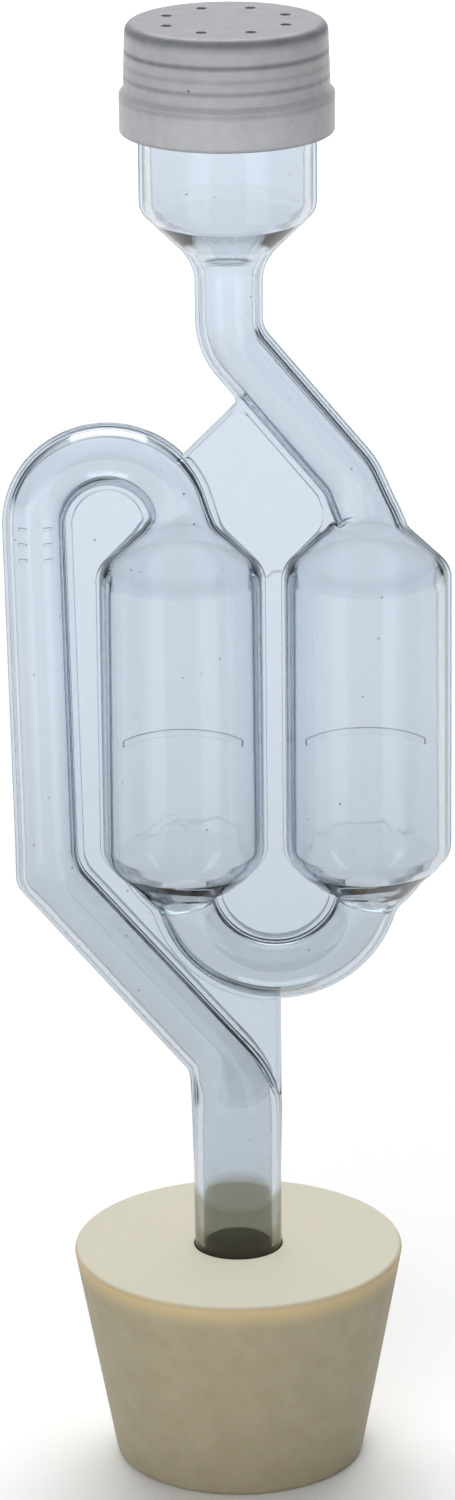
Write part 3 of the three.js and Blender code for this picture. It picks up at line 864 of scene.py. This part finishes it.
# Bands of painted shade round the dust cap: height and reach in millimetres, and depth of the grey
CAP_SHADE_BANDS = (
    (164.2, 1.4, 0.7),
    (161.65, 0.5, 0.7),
    (160.2, 0.45, 0.25),
    (158.9, 0.45, 0.45),
    (156.6, 0.5, 0.3),
    (152.8, 0.5, 0.6),
)


def new_material(name):
    """A material with no nodes yet, and its node tree"""
    material = bpy.data.materials.new(name)
    material.use_nodes = True
    material.node_tree.nodes.clear()
    return material, material.node_tree


def clear_polystyrene(finish, flange):
    """Injection moulded clear polystyrene: glossy, faintly blue-grey, with painted shade where a wall is seen
    edge on, low on the tube and at the mouth of the bung's hole
    """
    material, tree = new_material("clear_polystyrene_moulded")
    place = add_node(tree, "ShaderNodeTexCoord").outputs["Object"]
    axes = add_node(tree, "ShaderNodeSeparateXYZ", {0: place}).outputs
    height = axes["Z"]
    # Painted shade: the lower tube is tinted greyer, standing in for the darker surroundings seen through it
    # low down
    low = add_node(tree, "ShaderNodeMapRange", {
        "Value": height, "From Min": 95 * MM, "From Max": 55 * MM}, interpolation_type="SMOOTHSTEP")
    tint = add_node(tree, "ShaderNodeMix", {
        "Factor": low.outputs[0], "A": finish.clear, "B": finish.clear_low}, data_type="RGBA")
    # Painted shade: the stem is tinted dark at the mouth of the bung's hole, higher on the back and less
    # lower down, standing in for the shaded rubber seen through it
    reach = add_node(tree, "ShaderNodeMapRange", {
        "Value": axes["Y"], "From Min": -1 * MM, "From Max": 1 * MM, "To Min": 28 * MM, "To Max": 32.2 * MM})
    above = add_node(tree, "ShaderNodeMath", {0: height, 1: reach.outputs[0]}, operation="SUBTRACT")
    mouth = add_node(tree, "ShaderNodeMapRange", {
        "Value": above.outputs[0], "From Min": 0.0, "From Max": -1.6 * MM})
    grip = add_node(tree, "ShaderNodeMapRange", {
        "Value": height, "From Min": 12 * MM, "From Max": 25 * MM, "To Min": 0.1})
    mouth_shade = add_node(tree, "ShaderNodeMath", {0: mouth.outputs[0], 1: grip.outputs[0]}, operation="MULTIPLY")
    tint = add_node(tree, "ShaderNodeMix", {
        "Factor": mouth_shade.outputs[0], "A": tint.outputs["Result"], "B": finish.clear_stain}, data_type="RGBA")
    # Painted shade: a wall seen edge on is tinted dark, which draws a thin dark line along it
    facing = add_node(tree, "ShaderNodeLayerWeight", {"Blend": 0.5})
    edge_shade = add_node(tree, "ShaderNodeMapRange", {
        "Value": facing.outputs["Facing"], "From Min": 0.7, "From Max": 0.97},
        interpolation_type="SMOOTHSTEP")
    tint = add_node(tree, "ShaderNodeMix", {
        "Factor": edge_shade.outputs[0], "A": tint.outputs["Result"], "B": finish.clear_edge}, data_type="RGBA")
    # Specks of dirt in the moulding, a quarter of a millimetre wide and some 4 mm apart
    dirt = add_node(tree, "ShaderNodeTexVoronoi", {"Vector": place, "Scale": 1 / (4 * MM)})
    specks = add_node(tree, "ShaderNodeMapRange", {
        "Value": dirt.outputs["Distance"], "From Min": 0.14 / 4, "From Max": 0.11 / 4})
    tint = add_node(tree, "ShaderNodeMix", {
        "Factor": specks.outputs[0], "A": tint.outputs["Result"], "B": finish.speck}, data_type="RGBA")
    # Moulded walls wander by a few hundredths of a millimetre over some 5 mm
    flow = add_node(tree, "ShaderNodeTexNoise", {"Vector": place, "Scale": 1 / (5 * MM), "Detail": 2.0})
    waves = add_node(tree, "ShaderNodeBump", {
        "Height": flow.outputs[0], "Distance": 0.02 * MM, "Strength": 0.6})
    # Sealing water that dried up has left a wavering line, some 0.3 mm wide, low on the back of the bubbles
    level = add_node(tree, "ShaderNodeMath", {
        0: flow.outputs[0], 1: 6 * MM, 2: height}, operation="MULTIPLY_ADD")
    off_line = add_node(tree, "ShaderNodeMath", {0: level.outputs[0], 1: 75.5 * MM}, operation="SUBTRACT")
    line = add_node(tree, "ShaderNodeMath", {0: off_line.outputs[0]}, operation="ABSOLUTE")
    dried = add_node(tree, "ShaderNodeMapRange", {
        "Value": line.outputs[0], "From Min": 0.25 * MM, "From Max": 0.08 * MM, "To Max": 0.3})
    back = add_node(tree, "ShaderNodeMapRange", {
        "Value": axes["Y"], "From Min": 4.5 * MM, "From Max": 7 * MM})
    tide = add_node(tree, "ShaderNodeMath", {0: dried.outputs[0], 1: back.outputs[0]}, operation="MULTIPLY")
    tint = add_node(tree, "ShaderNodeMix", {
        "Factor": tide.outputs[0], "A": tint.outputs["Result"], "B": finish.clear_deep}, data_type="RGBA")
    shader = add_node(tree, "ShaderNodeBsdfPrincipled", {
        "Base Color": tint.outputs["Result"],
        "Roughness": 0.015,
        "IOR": 1.59,
        "Transmission Weight": 1.0,
        "Normal": waves.outputs[0],
    })
    inside = add_node(tree, "ShaderNodeVolumeAbsorption", {"Color": finish.clear_deep, "Density": 110.0})
    # The welded faces are melted into one, so light crosses them without bending
    depth = add_node(tree, "ShaderNodeMath", {0: axes["Y"]}, operation="ABSOLUTE")
    welded = add_node(tree, "ShaderNodeMath", {
        0: depth.outputs[0], 1: flange.weld_gap}, operation="LESS_THAN")
    fused = add_node(tree, "ShaderNodeBsdfTransparent", {"Color": finish.clear_weld})
    surface = add_node(tree, "ShaderNodeMixShader", {
        0: welded.outputs[0], 1: shader.outputs[0], 2: fused.outputs[0]})
    add_node(tree, "ShaderNodeOutputMaterial", {"Surface": surface.outputs[0], "Volume": inside.outputs[0]})
    return material


def frosted_polyethylene(finish):
    """Injection moulded milky polyethylene: translucent and softly matt, with bands of painted shade where
    its wall steps
    """
    material, tree = new_material("milky_polyethylene_moulded")
    place = add_node(tree, "ShaderNodeTexCoord").outputs["Object"]
    height = add_node(tree, "ShaderNodeSeparateXYZ", {0: place}).outputs["Z"]
    # Painted shade: less light comes through where the wall is thick, so a grey band is painted round the cap
    # at each inner step
    bands = None
    for level, reach, depth in CAP_SHADE_BANDS:
        away = add_node(tree, "ShaderNodeMath", {0: height, 1: level * MM}, operation="SUBTRACT")
        near = add_node(tree, "ShaderNodeMath", {0: away.outputs[0]}, operation="ABSOLUTE")
        band = add_node(tree, "ShaderNodeMapRange", {
            "Value": near.outputs[0], "From Min": reach * MM, "From Max": 0.0, "To Max": depth},
            interpolation_type="SMOOTHSTEP").outputs[0]
        bands = band if bands is None else add_node(
            tree, "ShaderNodeMath", {0: bands, 1: band}, operation="ADD").outputs[0]
    # Milky clouds about 1.5 mm wide, where the plastic cooled unevenly
    clouds = add_node(tree, "ShaderNodeTexNoise", {"Vector": place, "Scale": 1 / (1.5 * MM), "Detail": 5.0})
    cloudy = add_node(tree, "ShaderNodeMapRange", {
        "Value": clouds.outputs[0], "From Min": 0.35, "From Max": 0.65, "To Max": 0.12})
    clouds_and_shade = add_node(tree, "ShaderNodeMath", {0: cloudy.outputs[0], 1: bands}, operation="ADD")
    tint = add_node(tree, "ShaderNodeMix", {
        "Factor": clouds_and_shade.outputs[0], "A": finish.frosted, "B": finish.frosted_deep}, data_type="RGBA")
    # Specks of dirt in the moulding, a quarter of a millimetre wide and some 3 mm apart
    dirt = add_node(tree, "ShaderNodeTexVoronoi", {"Vector": place, "Scale": 1 / (3 * MM)})
    specks = add_node(tree, "ShaderNodeMapRange", {
        "Value": dirt.outputs["Distance"], "From Min": 0.15 / 3, "From Max": 0.1 / 3})
    tint = add_node(tree, "ShaderNodeMix", {
        "Factor": specks.outputs[0], "A": tint.outputs["Result"], "B": finish.speck}, data_type="RGBA")
    # The mould's fine matt texture is about 0.1 mm, drawn here at 0.35 mm so that it shows
    grain = add_node(tree, "ShaderNodeTexNoise", {"Vector": place, "Scale": 1 / (0.35 * MM), "Detail": 2.0})
    matt = add_node(tree, "ShaderNodeBump", {
        "Height": grain.outputs[0], "Distance": 0.02 * MM, "Strength": 0.5})
    shader = add_node(tree, "ShaderNodeBsdfPrincipled", {
        "Base Color": tint.outputs["Result"],
        "Roughness": 0.38,
        "IOR": 1.51,
        "Transmission Weight": 0.35,
        "Normal": matt.outputs[0],
    })
    inside = add_node(tree, "ShaderNodeVolumeAbsorption", {"Color": finish.frosted_deep, "Density": 30.0})
    add_node(tree, "ShaderNodeOutputMaterial", {"Surface": shader.outputs[0], "Volume": inside.outputs[0]})
    return material


def gum_rubber(finish, size):
    """Moulded gum rubber: matt and warm cream, with a top painted paler for the light from above and painted
    shade in the hole
    """
    material, tree = new_material("gum_rubber_moulded")
    place = add_node(tree, "ShaderNodeTexCoord").outputs["Object"]
    axes = add_node(tree, "ShaderNodeSeparateXYZ", {0: place}).outputs
    normal = add_node(tree, "ShaderNodeNewGeometry").outputs["Normal"]
    up = add_node(tree, "ShaderNodeSeparateXYZ", {0: normal})
    # Painted light: the flat top is painted paler, as lit from above; bloom lies on the side in soft patches
    # of some 3 mm
    top = add_node(tree, "ShaderNodeMapRange", {"Value": up.outputs["Z"], "From Min": 0.2, "From Max": 0.9})
    patches = add_node(tree, "ShaderNodeTexNoise", {
        "Vector": place, "Scale": 1 / (3 * MM), "Detail": 6.0, "Roughness": 0.65})
    # Light soaks through the thin edge of the rim and warms the first millimetres under it
    glow = add_node(tree, "ShaderNodeMapRange", {
        "Value": axes["Z"], "From Min": size.height - 3.2 * MM, "From Max": size.height - 0.2 * MM},
        interpolation_type="SMOOTHSTEP")
    mottle = add_node(tree, "ShaderNodeMapRange", {
        "Value": patches.outputs[0], "From Min": 0.35, "From Max": 0.65})
    side = add_node(tree, "ShaderNodeMix", {
        "Factor": mottle.outputs[0], "A": finish.rubber, "B": finish.rubber_pale}, data_type="RGBA")
    warm = add_node(tree, "ShaderNodeMix", {
        "Factor": glow.outputs[0], "A": side.outputs["Result"], "B": finish.rubber_glow}, data_type="RGBA")
    outer = add_node(tree, "ShaderNodeMix", {
        "Factor": top.outputs[0], "A": warm.outputs["Result"], "B": finish.rubber_bloom}, data_type="RGBA")
    # Painted shade: the hole is tinted dark
    flat = add_node(tree, "ShaderNodeCombineXYZ", {"X": axes["X"], "Y": axes["Y"]})
    radius = add_node(tree, "ShaderNodeVectorMath", {0: flat.outputs[0]}, operation="LENGTH")
    hole = add_node(tree, "ShaderNodeMapRange", {
        "Value": radius.outputs["Value"],
        "From Min": size.bore_radius + 0.05 * MM, "From Max": size.bore_radius + 0.01 * MM})
    tint = add_node(tree, "ShaderNodeMix", {
        "Factor": hole.outputs[0], "A": outer.outputs["Result"], "B": finish.rubber_hole}, data_type="RGBA")
    # The mould's blasted texture is about 0.15 mm, drawn here at 0.4 mm so that it shows
    grain = add_node(tree, "ShaderNodeTexNoise", {"Vector": place, "Scale": 1 / (0.4 * MM), "Detail": 3.0})
    matt = add_node(tree, "ShaderNodeBump", {
        "Height": grain.outputs[0], "Distance": 0.03 * MM, "Strength": 0.5})
    shader = add_node(tree, "ShaderNodeBsdfPrincipled", {
        "Base Color": tint.outputs["Result"],
        "Roughness": 0.62,
        "IOR": 1.52,
        "Sheen Weight": 0.06,
        "Sheen Roughness": 0.4,
        "Sheen Tint": finish.rubber_sheen,
        "Normal": matt.outputs[0],
    })
    add_node(tree, "ShaderNodeOutputMaterial", {"Surface": shader.outputs[0]})
    return material


# Stage

# Each softbox as name, place, aim, width, length in metres, power in watts, and whether gloss and clear
# plastic show it
SOFTBOXES = (
    ("overhead_softbox", (0, 1.25, 1.5), (0, 1.25, 0), 1.6, 1.6, 30.5, True),
    ("front_fill", (-0.4, -1.25, 0.6), (0, 0, 0.08), 1.0, 1.0, 9.5, False),
    ("left_card", (-0.13, -0.15, 0.07), (0, 0, 0.07), 0.11, 0.14, 0.02, True),
    ("right_card", (0.13, -0.15, 0.07), (0, 0, 0.07), 0.11, 0.14, 0.02, True),
)


# Light crosses many faces on its way through the airlock's walls, and is mirrored between them
MOST_BOUNCES = 32


def studio_floor(settings):
    """The pale floor"""
    bm = bmesh.new()
    bmesh.ops.create_grid(bm, x_segments=1, y_segments=1, size=settings.stage.floor_size / 2)
    material, tree = new_material("studio_floor")
    shader = add_node(tree, "ShaderNodeBsdfDiffuse", {"Color": settings.finish.floor})
    add_node(tree, "ShaderNodeOutputMaterial", {"Surface": shader.outputs[0]})
    return new_piece("studio_floor", bm, material, smooth=False)


def studio_walls():
    """A world that is bright behind the airlock, and dimmer beside and in front of it"""
    world = bpy.data.worlds.new("studio")
    world.use_nodes = True
    tree = world.node_tree
    tree.nodes.clear()
    toward = add_node(tree, "ShaderNodeTexCoord").outputs["Generated"]
    axes = add_node(tree, "ShaderNodeSeparateXYZ", {0: toward}).outputs
    behind = add_node(tree, "ShaderNodeMapRange", {
        "Value": axes["Y"], "From Min": -0.5, "From Max": 0.4, "To Min": 0.15, "To Max": 1.25})
    aside = add_node(tree, "ShaderNodeMath", {0: axes["X"]}, operation="ABSOLUTE")
    beside = add_node(tree, "ShaderNodeMapRange", {
        "Value": aside.outputs[0], "From Min": 0.4, "From Max": 0.7, "To Min": 1.0, "To Max": 0.12})
    glow = add_node(tree, "ShaderNodeMath", {
        0: behind.outputs[0], 1: beside.outputs[0]}, operation="MULTIPLY")
    sky = add_node(tree, "ShaderNodeBackground", {"Strength": glow.outputs[0]})
    add_node(tree, "ShaderNodeOutputWorld", {"Surface": sky.outputs[0]})
    return world


def softbox(name, place, aim, across, along, power, mirrored_too):
    """A rectangular lamp at a place, turned to its aim"""
    lamp = bpy.data.lights.new(name, "AREA")
    lamp.shape = "RECTANGLE"
    lamp.size = across
    lamp.size_y = along
    lamp.energy = power
    light = bpy.data.objects.new(name, lamp)
    turn = (Vector(aim) - Vector(place)).to_track_quat("-Z", "Y")
    light.matrix_world = Matrix.Translation(place) @ turn.to_matrix().to_4x4()
    light.visible_camera = False
    light.visible_glossy = mirrored_too
    light.visible_transmission = mirrored_too
    return light


def studio_camera(size):
    """A camera that looks at the airlock from the front and slightly from above"""
    camera = bpy.data.objects.new("camera", bpy.data.cameras.new("camera"))
    camera.data.lens = size.lens
    camera.data.sensor_width = 36
    camera.data.clip_start = 0.01
    place = Matrix.Translation((size.camera_aside, -size.camera_distance, size.camera_height))
    tilt = Matrix.Rotation(pi / 2 - size.camera_tilt, 4, "X")
    roll = Matrix.Rotation(size.camera_roll, 4, "Z")
    camera.matrix_world = place @ tilt @ roll
    return camera


class AIRLOCK_OT_studio(Operator):
    """Sets the floor, the lights and the camera"""
    bl_idname = "airlock.studio"
    bl_label = "Studio"

    def execute(self, context):
        scene = context.scene
        settings = scene.airlock
        floor = studio_floor(settings)
        scene.world = studio_walls()
        for box in SOFTBOXES:
            scene.collection.objects.link(softbox(*box))
        scene.camera = studio_camera(settings.stage)
        scene.collection.objects.link(scene.camera)
        scene.cycles.max_bounces = MOST_BOUNCES
        scene.cycles.transmission_bounces = MOST_BOUNCES
        scene.cycles.transparent_max_bounces = MOST_BOUNCES
        scene.view_settings.view_transform = "Standard"
        return {"FINISHED"}


# Sidebar and start

class AIRLOCK_PT_sidebar(Panel):
    """Lists the makers of the airlock's pieces, and its sizes and colours"""
    bl_idname = "AIRLOCK_PT_sidebar"
    bl_label = "Airlock"
    bl_space_type = "VIEW_3D"
    bl_region_type = "UI"
    bl_category = "Airlock"

    def draw(self, context):
        for maker in MAKERS:
            self.layout.operator(maker.bl_idname)
        settings = context.scene.airlock
        for name in AirlockSettings.__annotations__:
            group = getattr(settings, name)
            box = self.layout.box()
            box.label(text=settings.bl_rna.properties[name].name)
            for size in type(group).__annotations__:
                box.prop(group, size)


MAKERS = (AIRLOCK_OT_rubber_bung, AIRLOCK_OT_clear_halves, AIRLOCK_OT_dust_cap, AIRLOCK_OT_studio)
GROUPS = (
    BungSizes, TubeSizes, BubbleSizes, CupSizes, FlangeSizes, CapSizes, Finishes, StageSizes, AirlockSettings)
CLASSES = GROUPS + MAKERS + (AIRLOCK_PT_sidebar,)


def register():
    for one in CLASSES:
        bpy.utils.register_class(one)
    bpy.types.Scene.airlock = PointerProperty(type=AirlockSettings)


def unregister():
    del bpy.types.Scene.airlock
    for one in reversed(CLASSES):
        bpy.utils.unregister_class(one)


def main():
    register()
    bpy.ops.airlock.rubber_bung()
    bpy.ops.airlock.clear_halves()
    bpy.ops.airlock.dust_cap()
    bpy.ops.airlock.studio()


if __name__ == "__main__":
    main()
